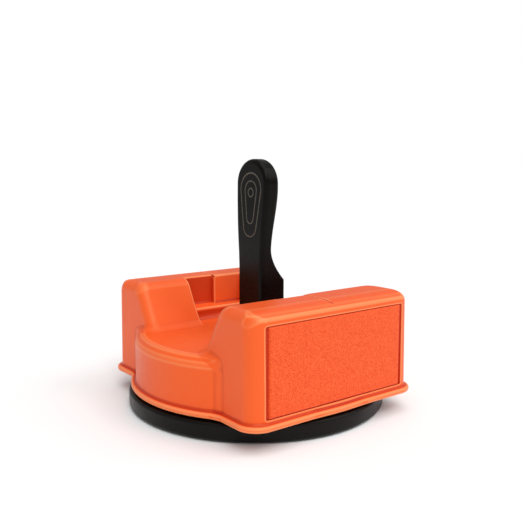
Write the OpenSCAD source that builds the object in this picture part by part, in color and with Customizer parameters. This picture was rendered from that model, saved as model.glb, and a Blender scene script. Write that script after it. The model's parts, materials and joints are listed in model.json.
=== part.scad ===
// Lever-operated card shuffler on a turntable.
// Origin: centre of the base on the table. X runs across the card valley, Y along it, Z up.

/* [Base disc] */
// Radius of the base disc
base_r = 75; // [72:0.5:80]
// Height of the base disc's top face above the table
base_top = 10; // [9:0.5:11]
// Height that the foot ring lifts the disc off the table
foot_lift = 0.8; // [0.5:0.1:1.2]
// Radius of the rounded edges of the disc
base_edge_r = 1.6; // [0.8:0.1:2.5]

/* [Housing] */
// Underside of the housing's hem
hem_z = 11.3; // [11:0.1:12]
// Thickness of the hem
hem_t = 3; // [2.5:0.1:3.5]
// How far the hem stands out from the walls
hem_out = 2.3; // [1.5:0.1:3]
// Half width of the housing across both towers
tower_x = 71; // [70:0.5:74]
// Half length of the towers
tower_y = 56; // [54:0.5:58]
// Radius of the towers' upright corners
tower_corner_r = 9; // [6:0.5:12]
// Height of the tower tops
tower_top = 68.6; // [64:0.2:70]
// Radius of the round drum between the towers
drum_r = 71.5; // [69:0.5:72]
// Height of the valley floor
floor_z = 42; // [41.5:0.1:42.4]
// Width of the bevel round the drum's top edge
drum_bevel = 4.2; // [3:0.1:5]
// Half width of the valley at its floor
valley_x = 26.2; // [25.5:0.1:28]
// How far the valley's front walls lean outwards for each unit of height
valley_slope = 0.57; // [0.5:0.01:0.6]
// Half width of the valley at its floor behind the finger wells
rear_valley_x = 34; // [32:0.5:36]
// How far the valley's rear walls lean outwards for each unit of height
rear_slope = 0.23; // [0.1:0.01:0.3]
// Radius of the valley walls' top edges
valley_edge_r = 4; // [2:0.5:5]
// Wall thickness of the housing
wall = 2.4; // [2:0.1:2.8]
// Radius of the tower tops' inner and end edges
top_edge_r = 6.5; // [4:0.5:7]
// Width of the sloping band along each tower's outer top edge
outer_band = 7.5; // [5:0.5:9]
// Drop of that sloping band
outer_drop = 2.8; // [2:0.1:4]

/* [Finger wells] */
// Distance from the centre to the front end of each well
well_front = 21.5; // [18:0.5:25]
// Distance from the centre to the rear end of each well
well_rear = 20; // [18:0.5:25]
// Distance from the centre to the back wall of each well's front half
well_x = 45; // [44:0.5:47]
// How much shallower the rear half is
well_step = 2.5; // [1:0.1:4]
// Height of the ledge at the bottom of each well
well_z = 50.5; // [48:0.5:54]
// Distance from the centre to the upright wall below the ledge
well_foot_x = 37; // [36:0.5:38]

/* [Grip pads] */
// Half length of a grip pad
pad_y = 45.6; // [40:0.2:46]
// Lower edge of a grip pad
pad_low = 16.6; // [16:0.1:20]
// Upper edge of a grip pad
pad_high = 61.5; // [55:0.5:62]
// Thickness of a grip pad
pad_t = 1.2; // [1:0.1:1.4]
// Gap between each end of a pad and its recess
pad_gap = 1.4; // [0.3:0.1:1.8]

/* [Lever] */
// Height of the lever's pivot
pivot_z = 23; // [22.8:0.1:23.2]
// Distance of the pivot behind the centre
pivot_y = 3.2; // [2.8:0.1:3.6]
// Height of the lever's tip
lever_top = 141.3; // [130:0.1:145]
// Half width of the lever's rounded paddle
lever_half_w = 14.5; // [13:0.1:15]
// Half width of the lever's stem
stem_half_w = 11.6; // [10:0.1:11.8]
// Front face of the lever
lever_front = -5; // [-5.4:0.1:-4.6]
// Back of the lever's heel
lever_back = 12.3; // [10.6:0.1:12.6]
// Radius of the lever's axle
axle_r = 2.5; // [2.4:0.05:2.6]

/* [Drive] */
// Module of the sector gear and the rack
gear_module = 1.25; // [1.25:0.05:1.25]
// Teeth on the full circle of the sector gear
gear_teeth = 20; // [20:1:20]
// Gap left between meshing flanks
backlash = 0.14; // [0.1:0.01:0.2]
// Radius of the two guide rods
rod_r = 1.5; // [1.4:0.05:1.6]
// Radial running clearance of pins and rods
run_gap = 0.06; // [0.03:0.01:0.09]

/* [Hidden] */
$fn = 64;
eps = 0.01;
big = 200;

// Colours of the moulded and metal pieces
orange = [0.94, 0.40, 0.22];
pad_orange = [0.90, 0.34, 0.16];
black = [0.10, 0.10, 0.10];
steel = [0.72, 0.73, 0.75];
natural = [0.90, 0.88, 0.82];

// Ball race and spindle
race_r = 45;
ball_r = 2.5;
ball_count = 12;
ball_z = (base_top + hem_z) / 2 + 0.2;
race_gap = 0.3;
spindle_r = 5;
spindle_flange_r = 10;
spindle_flange_t = 2;
washer_r = 8;
washer_t = 1.2;

// Chassis plate that closes the housing from below
plate_z = hem_z + 0.4;
plate_t = 2;
plate_top = plate_z + plate_t;
plate_gap = 0.3;
ceiling_z = floor_z - 2.5;

// Screws that hold the chassis plate
screw_r = 1.4;
screw_head_r = 2.6;
screw_head_t = 1.8;
boss_r = 4;
chassis_screw_at = [[59, 44], [59, -44], [-59, 44], [-59, -44], [0, 58], [0, -58]];

// Sector gear and rack
pitch_r = gear_module * gear_teeth / 2;
pressure = 20;
tip_r = pitch_r + gear_module;
root_r = pitch_r - 1.25 * gear_module;
tooth_pitch = PI * gear_module;
rack_pitch_z = pivot_z + pitch_r;
gear_x = [15, 19];
rack_top = ceiling_z - 0.3;

// Lever slot in the valley floor, and the two slots for the pusher posts
slot_x = 13.2;
slot_y = [-17, 24];
post_x = 17;
post_half_x = 1.5;
post_half_y = 4;
post_slot_half_x = 1.9;
post_slot_half_y = 11;

// Axle supports and guide rods
upright_x = [20, 24];
upright_half_y = 7;
upright_top = pivot_z + 7;
bush_r = 4.5;
bush_flange_r = 6;
bush_flange_t = 0.8;
rod_x = 24;
rod_z = 36;
rod_half_y = 30;
rod_post = [26, 30];
slider_half_y = 7;
slider_x = [15, 27.5];
slider_z = 33;

// Points on an arc about [cx, cy]
function arc(cx, cy, r, a0, a1, steps = 6) =
    [for (i = [0 : steps]) let (a = a0 + (a1 - a0) * i / steps) [cx + r * cos(a), cy + r * sin(a)]];

// Point on a cubic curve through its four control points
function cubic(p, t) =
    pow(1 - t, 3) * p[0] + 3 * pow(1 - t, 2) * t * p[1] + 3 * (1 - t) * t * t * p[2] + t * t * t * p[3];

// ---------------------------------------------------------------- shared forms

module rounded_rect(half_x, half_y, r) {
    square([2 * half_x, 2 * (half_y - r)], center = true);
    square([2 * (half_x - r), 2 * half_y], center = true);
    for (sx = [-1, 1], sy = [-1, 1])
        translate([sx * (half_x - r), sy * (half_y - r)])
            circle(r = r);
}

// Outline of the walls seen from above, grown by g
module footprint(g) {
    circle(r = drum_r + g, $fn = 180);
    rounded_rect(tower_x + g, tower_y + g, tower_corner_r + g);
}

// Cross-section of the right tower, set in by d
module tower_section(d, foot, slope) {
    top = tower_top - d;
    outer = tower_x - d;
    r = max(valley_edge_r - d, 1);
    stretch = sqrt(1 + slope * slope);
    foot_x = foot + d * stretch - slope * d;
    edge_x = foot + slope * (top - r - floor_z) + (r + d) * stretch;
    polygon(concat(
        [[foot_x, hem_z], [foot_x, floor_z - d]],
        arc(edge_x, top - r, r, 180 - atan(slope), 90),
        [[outer - outer_band, top], [outer - 0.8, top - outer_drop], [outer, top - outer_drop - 1.4]],
        [[outer, hem_z]]
    ));
}

// Right tower's front and rear profiles drawn out along Y
module tower_profiles(d) {
    rotate([90, 0, 0])
        linear_extrude(big)
            tower_section(d, valley_x, valley_slope);
    translate([0, big - 4, 0])
        rotate([90, 0, 0])
            linear_extrude(big)
                tower_section(d, rear_valley_x, rear_slope);
}

// Lengthwise section of a tower, set in by d
module tower_side(d) {
    top = tower_top - d;
    end = tower_y - d;
    r = max(top_edge_r - d, 1);
    polygon(concat(
        [[-end, hem_z - 1]],
        arc(-end + r, top - r, r, 180, 90),
        arc(end - r, top - r, r, 90, 0),
        [[end, hem_z - 1]]
    ));
}

// Right tower as a solid block, set in by d
module tower(d) {
    intersection() {
        translate([0, 0, hem_z - (d > 0 ? 1 : 0)])
            linear_extrude(tower_top)
                rounded_rect(tower_x - d, tower_y - d, tower_corner_r - d);
        union() {
            tower_profiles(d);
            if (d > 0)
                translate([0, 0, -1])
                    tower_profiles(d);
        }
        rotate([90, 0, 90])
            linear_extrude(big, center = true)
                tower_side(d);
    }
}

// Blocks that a finger well takes out of the right tower, grown by g
module finger_well(g) {
    well_split = 1.2;
    translate([0, -well_front - g, well_z - g])
        cube([well_x + g, well_front - well_split + 2 * g, big]);
    translate([0, -well_front - g, well_z - g])
        cube([well_x - well_step + g, well_front + well_rear + 2 * g, big]);
    translate([0, -well_front - g, floor_z - g])
        cube([well_foot_x + g, well_front + well_rear + 2 * g, big]);
}

module both_sides() {
    children();
    mirror([1, 0, 0])
        children();
}

module drum(d) {
    translate([0, 0, hem_z - (d > 0 ? 1 : 0)])
        cylinder(r = drum_r - d, h = floor_z - drum_bevel - hem_z + (d > 0 ? 1 : 0) - 0.4 * d, $fn = 180);
    translate([0, 0, floor_z - drum_bevel - 0.4 * d - eps])
        cylinder(r1 = drum_r - d, r2 = drum_r - drum_bevel - 0.6 * d, h = drum_bevel - 0.6 * d + eps, $fn = 180);
}

// ---------------------------------------------------------------- base

module base_disc() {
    bottom = foot_lift;
    r = base_edge_r;
    color(black)
        difference() {
            rotate_extrude($fn = 180)
                polygon(concat(
                    [[0, bottom]],
                    arc(base_r - r, bottom + r, r, -90, 0, 5),
                    arc(base_r - r, base_top - r, r, 0, 90, 5),
                    [[0, base_top]]
                ));
            // groove for the balls
            translate([0, 0, ball_z])
                rotate_extrude($fn = 120)
                    translate([race_r, 0])
                        circle(r = ball_r + race_gap, $fn = 32);
            // seat of the foot ring
            translate([0, 0, bottom - 1])
                difference() {
                    cylinder(r = 68.1, h = 2.5, $fn = 120);
                    translate([0, 0, -1])
                        cylinder(r = 59.9, h = 5, $fn = 120);
                }
            // seat of the ballast plate
            translate([0, 0, bottom - 1])
                difference() {
                    cylinder(r = 52.2, h = 4, $fn = 120);
                    translate([0, 0, -1])
                        cylinder(r = 17.8, h = 6, $fn = 120);
                }
            // spindle bore and the seat of its flange
            translate([0, 0, -1])
                cylinder(r = spindle_r, h = base_top + 2);
            translate([0, 0, -1])
                cylinder(r = spindle_flange_r + 0.1, h = bottom + spindle_flange_t + 1.2);
            ballast_screw_places()
                translate([0, 0, bottom])
                    cylinder(r = screw_r, h = 7);
        }
}

module foot_ring() {
    color("dimgray")
        difference() {
            cylinder(r = 68, h = foot_lift + 1.4, $fn = 120);
            translate([0, 0, -1])
                cylinder(r = 60, h = 6, $fn = 120);
        }
}

module ballast_screw_places() {
    for (i = [0 : 2])
        rotate([0, 0, 90 + 120 * i])
            translate([35, 0, 0])
                children();
}

module ballast_plate() {
    plate_low = foot_lift + 0.2;
    color(steel)
        difference() {
            translate([0, 0, plate_low])
                cylinder(r = 52, h = 2.7, $fn = 120);
            translate([0, 0, -1])
                cylinder(r = 18, h = 6);
            ballast_screw_places()
                translate([0, 0, -1])
                    cylinder(r = screw_r + 0.2, h = 6);
            ballast_screw_places()
                translate([0, 0, -1])
                    cylinder(r = screw_head_r + 0.3, h = 1 + plate_low + 1.4);
        }
}

module ballast_screws() {
    color(steel)
        ballast_screw_places() {
            translate([0, 0, foot_lift + 0.4])
                cylinder(r = screw_head_r, h = 1.2);
            translate([0, 0, foot_lift + 1])
                cylinder(r = screw_r, h = 6);
        }
}

module spindle() {
    color(steel)
        difference() {
            union() {
                translate([0, 0, foot_lift + 0.2])
                    cylinder(r = spindle_flange_r, h = spindle_flange_t);
                translate([0, 0, foot_lift + 0.2])
                    cylinder(r = spindle_r, h = plate_top + 0.2 - foot_lift - 0.2);
            }
            translate([0, 0, foot_lift + 3])
                cylinder(r = screw_r, h = big);
        }
}

module spindle_washer() {
    color(steel)
        translate([0, 0, plate_top + 0.2])
            difference() {
                cylinder(r = washer_r, h = washer_t);
                translate([0, 0, -1])
                    cylinder(r = screw_r + 0.2, h = 4);
                translate([0, 0, 0.3])
                    cylinder(r = screw_head_r + 0.2, h = 4);
            }
}

module spindle_screw() {
    color(steel)
        translate([0, 0, plate_top + 0.5]) {
            cylinder(r = screw_head_r, h = 0.9);
            translate([0, 0, -9])
                cylinder(r = screw_r, h = 9.5);
        }
}

module ball_places() {
    for (i = [0 : ball_count - 1])
        rotate([0, 0, 360 * i / ball_count])
            translate([race_r, 0, ball_z])
                children();
}

module ball_cage() {
    color(natural)
        difference() {
            translate([0, 0, ball_z - 0.45])
                cylinder(r = race_r + 3.6, h = 0.9, $fn = 120);
            cylinder(r = race_r - 3.6, h = big, $fn = 120);
            ball_places()
                cylinder(r = ball_r + 0.15, h = 4, center = true, $fn = 32);
        }
}

module thrust_balls() {
    color(steel)
        ball_places()
            sphere(r = ball_r, $fn = 32);
}

// ---------------------------------------------------------------- housing

module hem() {
    translate([0, 0, hem_z])
        linear_extrude(hem_t)
            footprint(hem_out);
}

module screw_bosses() {
    for (p = chassis_screw_at) {
        top = abs(p[0]) > 1 ? tower_top - wall : ceiling_z;
        translate([p[0], p[1], plate_top + 2.6])
            cylinder(r = boss_r, h = top - plate_top - 2.6 + 0.5, $fn = 32);
    }
}

module housing_shell() {
    seam_w = 0.8;
    color(orange)
        difference() {
            union() {
                difference() {
                    union() {
                        both_sides()
                            difference() {
                                tower(0);
                                finger_well(0);
                            }
                        drum(0);
                        hem();
                    }
                    both_sides()
                        difference() {
                            tower(wall);
                            finger_well(wall);
                        }
                    drum(wall);
                    translate([0, 0, hem_z - 1])
                        linear_extrude(hem_t + 2)
                            footprint(-wall);
                }
                screw_bosses();
            }
            // slots for the lever and the pusher posts
            translate([-slot_x, slot_y[0], ceiling_z - 2])
                cube([2 * slot_x, slot_y[1] - slot_y[0], 10]);
            both_sides()
                translate([post_x - post_slot_half_x, -post_slot_half_y, ceiling_z - 2])
                    cube([2 * post_slot_half_x, 2 * post_slot_half_y, 10]);
            // recesses of the grip pads
            both_sides()
                translate([tower_x - pad_t, -pad_y - pad_gap, pad_low - 0.5])
                    cube([10, 2 * (pad_y + pad_gap), pad_high - pad_low + 1]);
            // shallow line across each tower top
            both_sides()
                translate([well_x - 3, -1.2 - seam_w / 2, tower_top - 0.6])
                    cube([tower_x - outer_band - well_x + 2, seam_w, 2]);
            // screw holes in the bosses
            for (p = chassis_screw_at)
                translate([p[0], p[1], plate_top + 1])
                    cylinder(r = screw_r, h = 12, $fn = 32);
        }
}

module grip_pad() {
    color(pad_orange)
        translate([tower_x - pad_t, -pad_y, pad_low])
            cube([pad_t, 2 * pad_y, pad_high - pad_low]);
}

module grip_pad_right() {
    grip_pad();
}

module grip_pad_left() {
    mirror([1, 0, 0])
        grip_pad();
}

module chassis_plate() {
    color("darkslategray")
        difference() {
            union() {
                translate([0, 0, plate_z])
                    linear_extrude(plate_t)
                        footprint(-wall - plate_gap);
                // raised ring over the ball race
                translate([0, 0, plate_z])
                    cylinder(r = race_r + 5, h = plate_t + 2, $fn = 120);
                // axle supports
                both_sides()
                    translate([upright_x[0], pivot_y - upright_half_y, plate_top - eps])
                        cube([upright_x[1] - upright_x[0], 2 * upright_half_y, upright_top - plate_top]);
                // posts that hold the guide rods
                both_sides()
                    for (s = [-1, 1])
                        translate([rod_x, s * (rod_post[0] + rod_post[1]) / 2, (plate_top + rod_z + 3) / 2])
                            cube([6, rod_post[1] - rod_post[0], rod_z + 3 - plate_top], center = true);
                for (p = chassis_screw_at)
                    translate([p[0], p[1], plate_z])
                        cylinder(r = boss_r + 0.6, h = plate_t + 2.3, $fn = 32);
            }
            // clear the inside of the raised ring down to the plate
            difference() {
                translate([0, 0, plate_top])
                    cylinder(r = race_r - 5, h = 5, $fn = 120);
                both_sides()
                    translate([upright_x[0], pivot_y - upright_half_y, 0])
                        cube([upright_x[1] - upright_x[0], 2 * upright_half_y, big]);
                both_sides()
                    for (s = [-1, 1])
                        translate([rod_x, s * (rod_post[0] + rod_post[1]) / 2, big / 2])
                            cube([6, rod_post[1] - rod_post[0], big], center = true);
            }
            translate([0, 0, ball_z])
                rotate_extrude($fn = 120)
                    translate([race_r, 0])
                        circle(r = ball_r + race_gap, $fn = 32);
            translate([0, 0, -1])
                cylinder(r = spindle_r + run_gap, h = big);
            // bores for the axle bushes and the guide rods
            translate([-big / 2, pivot_y, pivot_z])
                rotate([0, 90, 0])
                    cylinder(r = bush_r, h = big);
            both_sides()
                translate([rod_x, big / 2, rod_z])
                    rotate([90, 0, 0])
                        cylinder(r = rod_r, h = big, $fn = 32);
            for (p = chassis_screw_at) {
                translate([p[0], p[1], -1])
                    cylinder(r = screw_r + 0.3, h = big, $fn = 32);
                translate([p[0], p[1], -1])
                    cylinder(r = screw_head_r + 0.3, h = 1 + plate_z + screw_head_t + 0.2, $fn = 32);
            }
        }
}

module chassis_screws() {
    color(steel)
        for (p = chassis_screw_at)
            translate([p[0], p[1], plate_z + 0.2]) {
                cylinder(r = screw_head_r, h = screw_head_t, $fn = 32);
                cylinder(r = screw_r, h = 12, $fn = 24);
            }
}

module axle_bush() {
    color("goldenrod")
        difference() {
            translate([upright_x[0] - bush_flange_t, pivot_y, pivot_z])
                rotate([0, 90, 0]) {
                    cylinder(r = bush_r, h = bush_flange_t + upright_x[1] - upright_x[0]);
                    cylinder(r = bush_flange_r, h = bush_flange_t);
                }
            translate([0, pivot_y, pivot_z])
                rotate([0, 90, 0])
                    cylinder(r = axle_r + run_gap, h = big);
        }
}

module axle_bush_right() {
    axle_bush();
}

module axle_bush_left() {
    mirror([1, 0, 0])
        axle_bush();
}

module guide_rod() {
    color(steel)
        translate([rod_x, rod_half_y, rod_z])
            rotate([90, 0, 0])
                cylinder(r = rod_r, h = 2 * rod_half_y, $fn = 32);
}

module guide_rod_right() {
    guide_rod();
}

module guide_rod_left() {
    mirror([1, 0, 0])
        guide_rod();
}

// One compression spring on the right guide rod, in front of the slider
module return_spring() {
    coil_r = 2.5;
    wire_r = 0.35;
    turns = 7;
    steps = 14;
    sides = 8;
    start = slider_half_y + wire_r;
    length = rod_post[0] - slider_half_y - 2 * wire_r;
    rings = turns * steps;
    points = [for (i = [0 : rings], j = [0 : sides - 1])
        let (a = 360 * i / steps, b = 360 * j / sides, rr = coil_r + wire_r * cos(b))
            [rod_x + rr * cos(a), -(start + length * i / rings + wire_r * sin(b)), rod_z + rr * sin(a)]];
    skin = [for (i = [0 : rings - 1], j = [0 : sides - 1])
        let (k = (j + 1) % sides)
            [i * sides + j, (i + 1) * sides + j, (i + 1) * sides + k, i * sides + k]];
    caps = [[for (j = [0 : sides - 1]) j], [for (j = [0 : sides - 1]) rings * sides + sides - 1 - j]];
    color(steel)
        polyhedron(points, concat(skin, caps), convexity = 6);
}

module return_spring_front_right() {
    return_spring();
}

module return_spring_front_left() {
    mirror([1, 0, 0])
        return_spring();
}

module return_spring_rear_right() {
    mirror([0, 1, 0])
        return_spring();
}

module return_spring_rear_left() {
    mirror([1, 0, 0])
        mirror([0, 1, 0])
            return_spring();
}

// ---------------------------------------------------------------- lever

// Lever seen from the front: a stem that widens to a round paddle
module lever_front_view() {
    centre = lever_top - lever_half_w;
    translate([0, centre])
        circle(r = lever_half_w, $fn = 96);
    polygon([
        [-12, pivot_z - 8], [12, pivot_z - 8], [12, pivot_z + 9], [stem_half_w, pivot_z + 14],
        [stem_half_w, 76], [lever_half_w, centre], [-lever_half_w, centre],
        [-stem_half_w, 76], [-stem_half_w, pivot_z + 14], [-12, pivot_z + 9]
    ]);
}

// Lever seen from its right side: flat front, waisted back and a heel above the floor
module lever_side_view() {
    neck_y = 2.2;
    neck_z = 90;
    heel_z = 71;
    paddle_back = 6.4;
    heel_curve = [[lever_back, heel_z], [7.5, heel_z + 5.5], [neck_y, neck_z - 7.5], [neck_y, neck_z]];
    back_curve = [[neck_y, neck_z], [neck_y, neck_z + 12], [paddle_back, 112], [paddle_back, 129]];
    polygon(concat(
        [[pivot_y - 6, pivot_z], [pivot_y + 6, pivot_z], [lever_back, pivot_z + 13], [lever_back, heel_z]],
        [for (i = [1 : 8]) cubic(heel_curve, i / 8)],
        [for (i = [1 : 8]) cubic(back_curve, i / 8)],
        arc(paddle_back - 4, lever_top - 4, 4, 0, 90, 4),
        arc(lever_front + 3, lever_top - 3, 3, 90, 180, 4),
        [[lever_front, pivot_z + 13]]
    ));
    translate([pivot_y, pivot_z])
        circle(r = 6.5);
}

module lever() {
    color(black)
        difference() {
            intersection() {
                rotate([90, 0, 0])
                    linear_extrude(big, center = true)
                        lever_front_view();
                rotate([90, 0, 90])
                    linear_extrude(big, center = true)
                        lever_side_view();
            }
            translate([-big / 2, pivot_y, pivot_z])
                rotate([0, 90, 0])
                    cylinder(r = axle_r, h = big);
        }
}

module lever_axle() {
    color(steel)
        translate([-25.6, pivot_y, pivot_z])
            rotate([0, 90, 0])
                cylinder(r = axle_r, h = 51.2);
}

// Angle between a tooth's centre line and its involute flank at radius r
function flank_angle(r) =
    let (base = pitch_r * cos(pressure), a = r > base ? acos(base / r) : 0,
         at_pitch = (tooth_pitch / 2 - backlash) / (2 * pitch_r) * 180 / PI)
        at_pitch + (tan(pressure) * 180 / PI - pressure) - (tan(a) * 180 / PI - a);

module gear_tooth() {
    radii = [root_r - 0.4, root_r, pitch_r * cos(pressure), pitch_r - 0.3, pitch_r + 0.4, tip_r - 0.3, tip_r];
    last = len(radii) - 1;
    polygon(concat(
        [for (r = radii) [r * cos(90 - flank_angle(r)), r * sin(90 - flank_angle(r))]],
        [for (i = [0 : last]) let (r = radii[last - i])
            [r * cos(90 + flank_angle(r)), r * sin(90 + flank_angle(r))]]
    ));
}

module sector_gear() {
    tooth_angle = 360 / gear_teeth;
    half_span = 3.4 * tooth_angle;
    color(natural)
        difference() {
            translate([0, pivot_y, pivot_z])
                rotate([90, 0, 90]) {
                    translate([0, 0, gear_x[0]])
                        linear_extrude(gear_x[1] - gear_x[0]) {
                            intersection() {
                                circle(r = root_r, $fn = 90);
                                polygon(concat([[0, 0]], arc(0, 0, 30, 90 - half_span, 90 + half_span)));
                            }
                            for (i = [-3 : 3])
                                rotate(i * tooth_angle)
                                    gear_tooth();
                        }
                    translate([0, 0, 12.05])
                        cylinder(r = 5.5, h = gear_x[1] - 12.05);
                }
            translate([0, pivot_y, pivot_z])
                rotate([0, 90, 0])
                    cylinder(r = axle_r, h = big);
        }
}

module axle_spacer() {
    color(natural)
        difference() {
            translate([-18.95, pivot_y, pivot_z])
                rotate([0, 90, 0])
                    cylinder(r = 4.2, h = 6.9);
            translate([-big / 2, pivot_y, pivot_z])
                rotate([0, 90, 0])
                    cylinder(r = axle_r, h = big);
        }
}

module axle_clips() {
    color(steel)
        both_sides()
            difference() {
                translate([upright_x[1] + 0.2, pivot_y, pivot_z])
                    rotate([0, 90, 0])
                        cylinder(r = 4.6, h = 0.8, $fn = 48);
                translate([0, pivot_y, pivot_z])
                    rotate([0, 90, 0])
                        cylinder(r = axle_r, h = big);
                translate([0, pivot_y - 1.2, pivot_z])
                    cube([big, 2.4, 10]);
            }
}

// ---------------------------------------------------------------- shuttle

module slider_block() {
    difference() {
        translate([gear_x[1] + 0.4, -slider_half_y, slider_z])
            cube([slider_x[1] - gear_x[1] - 0.4, 2 * slider_half_y, rack_top - slider_z]);
        translate([rod_x, big / 2, rod_z])
            rotate([90, 0, 0])
                cylinder(r = rod_r + run_gap, h = big, $fn = 32);
    }
}

module pusher_post() {
    translate([post_x - post_half_x, -post_half_y, rack_top - eps])
        cube([2 * post_half_x, 2 * post_half_y, floor_z + 0.3 - rack_top]);
}

module post_screw_hole() {
    translate([post_x, 0, rack_top - 1.5])
        cylinder(r = 0.8, h = 10, $fn = 24);
}

module rack_slider() {
    rack_low = rack_pitch_z + 1.25 * gear_module;
    rack_half_y = 4 * tooth_pitch;
    half_t = (tooth_pitch / 2 - backlash) / 2;
    tip = gear_module - 0.05;
    root = rack_low - rack_pitch_z + 0.2;
    color(natural)
        difference() {
            union() {
                slider_block();
                translate([gear_x[0], pivot_y - rack_half_y, rack_low])
                    cube([gear_x[1] - gear_x[0] + 0.6, 2 * rack_half_y, rack_top - rack_low]);
                translate([gear_x[0], 0, 0])
                    rotate([90, 0, 90])
                        linear_extrude(gear_x[1] - gear_x[0])
                            for (i = [-4 : 3])
                                translate([pivot_y + (i + 0.5) * tooth_pitch, rack_pitch_z])
                                    polygon([
                                        [-half_t - root * tan(pressure), root],
                                        [-half_t + tip * tan(pressure), -tip],
                                        [half_t - tip * tan(pressure), -tip],
                                        [half_t + root * tan(pressure), root]
                                    ]);
                pusher_post();
            }
            post_screw_hole();
        }
}

module plain_slider() {
    color(natural)
        mirror([1, 0, 0])
            difference() {
                union() {
                    slider_block();
                    translate([slider_x[0], -slider_half_y, slider_z + 3])
                        cube([gear_x[1] + 0.5 - slider_x[0], 2 * slider_half_y, rack_top - slider_z - 3]);
                    pusher_post();
                }
                post_screw_hole();
            }
}

module pusher_frame() {
    low = floor_z + 0.3;
    t = 1.7;
    side = [14.5, 19.5];
    front = [-15.6, -12.1];
    rear = [19, 22.2];
    color(orange)
        difference() {
            translate([-side[1], front[0], low])
                cube([2 * side[1], rear[1] - front[0], t]);
            translate([-side[0], front[1], low - 1])
                cube([2 * side[0], rear[0] - front[1], t + 2]);
            both_sides()
                translate([post_x, 0, low - 1])
                    cylinder(r = 1, h = 5, $fn = 24);
            both_sides()
                translate([post_x, 0, low + t - 0.7])
                    cylinder(r = 1.9, h = 5, $fn = 24);
        }
}

module pusher_screws() {
    color(steel)
        both_sides()
            translate([post_x, 0, floor_z + 1.35]) {
                cylinder(r = 1.7, h = 0.6, $fn = 24);
                translate([0, 0, -4])
                    cylinder(r = 0.8, h = 4.2, $fn = 24);
            }
}

base_disc();
foot_ring();
ballast_plate();
ballast_screws();
spindle();
spindle_washer();
spindle_screw();
ball_cage();
thrust_balls();
housing_shell();
chassis_plate();
chassis_screws();
grip_pad_left();
grip_pad_right();
axle_bush_left();
axle_bush_right();
guide_rod_left();
guide_rod_right();
return_spring_front_left();
return_spring_front_right();
return_spring_rear_left();
return_spring_rear_right();
lever();
lever_axle();
sector_gear();
axle_spacer();
axle_clips();
rack_slider();
plain_slider();
pusher_frame();
pusher_screws();
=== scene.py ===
import json
import math

import bmesh
import bpy
import numpy as np
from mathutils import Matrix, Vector


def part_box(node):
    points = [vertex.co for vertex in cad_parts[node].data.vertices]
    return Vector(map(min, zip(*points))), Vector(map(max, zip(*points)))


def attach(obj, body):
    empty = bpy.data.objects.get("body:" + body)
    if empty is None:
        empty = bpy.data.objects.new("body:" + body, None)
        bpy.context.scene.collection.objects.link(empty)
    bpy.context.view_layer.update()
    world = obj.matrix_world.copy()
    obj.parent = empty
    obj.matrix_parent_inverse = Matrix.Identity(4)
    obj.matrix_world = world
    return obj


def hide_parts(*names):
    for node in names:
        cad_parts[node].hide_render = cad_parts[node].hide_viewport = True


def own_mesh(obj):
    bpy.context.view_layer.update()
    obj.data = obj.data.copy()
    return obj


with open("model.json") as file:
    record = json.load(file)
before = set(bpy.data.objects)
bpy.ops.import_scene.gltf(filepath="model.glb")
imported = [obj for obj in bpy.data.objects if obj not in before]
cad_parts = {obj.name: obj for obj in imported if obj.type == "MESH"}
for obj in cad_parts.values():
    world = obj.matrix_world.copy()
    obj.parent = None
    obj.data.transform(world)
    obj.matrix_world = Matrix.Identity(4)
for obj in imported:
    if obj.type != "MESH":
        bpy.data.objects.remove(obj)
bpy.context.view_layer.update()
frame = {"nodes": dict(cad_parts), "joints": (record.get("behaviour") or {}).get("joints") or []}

# Looks of a lever-operated card shuffler on a turntable. Objects are in metres. The shape formulas
# below work in millimetres: X across the card valley, Y along it, Z up from the table.

MM = 0.001


def box_mm(node):
    """Lowest and highest corner of a CAD node, in millimetres."""
    low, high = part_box(node)
    return Vector(low) / MM, Vector(high) / MM


# ------------------------------------------------------------------ sizes taken from the frame

shell_low, shell_high = box_mm("housing_shell")
pad_low, pad_high = box_mm("grip_pad_right")
disc_low, disc_high = box_mm("base_disc")
lever_high = box_mm("lever")[1]
ring_high = box_mm("foot_ring")[1]
pusher_low = box_mm("pusher_frame")[0]
rock = next(j for j in frame["joints"] if j["name"] == "lever_rock")

HEM_Z = shell_low.z
TOWER_TOP = shell_high.z
TOWER_X = pad_high.x
HEM_OUT = shell_high.x - TOWER_X
DRUM_R = shell_high.y - HEM_OUT
FLOOR_Z = pusher_low.z - 0.3
PIVOT_Y = rock["pos_m"][1] / MM
PIVOT_Z = rock["pos_m"][2] / MM

# ------------------------------------------------------------------ sizes of the housing's form

HEM_T = 3
HEM_EDGE = 1.2
HEM_FILLET = 1.5
HEM_PLAN_FILLET = 5
WALL = 2.4
DRAFT = math.tan(math.radians(0.5))
TOWER_Y = 56
TOWER_CORNER = 9
INNER_CORNER = (6, 11)
VALLEY_X = (26.2, 34)
VALLEY_SLOPE = (0.57, 0.23)
VALLEY_EDGE = 4
TOP_EDGE = 6.5
BAND_W = 7.5
BAND_RUN = 6.7
BAND_DROP = 2.8
BAND_EDGE = 1.3
DRUM_BEVEL = 4.2
FLOOR_FILLET = 2.2
VALLEY_FILLET = 4
WELL_X = 45
WELL_STEP = 2.5
WELL_Y = (-21.5, 20)
WELL_SPLIT = -1.2
WELL_FOOT_X = 37
WELL_LEDGE_BACK = 51.2
WELL_LEDGE_SLOPE = 0.2
SLOT_X = 13.2
SLOT_Y = (-17, 24)
POST_SLOT_X = 17
POST_SLOT_HALF = (1.9, 11)
PAD_GAP_END = 2.1
PAD_GAP_EDGE = 0.5
SEAM_HALF_W = 0.5
SEAM_DEPTH = 0.7
BOSS_R = 4
BOSS_Z = 16.3
BOSS_AT = ((59, 44), (0, 58))


# ------------------------------------------------------------------ distance fields

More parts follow.
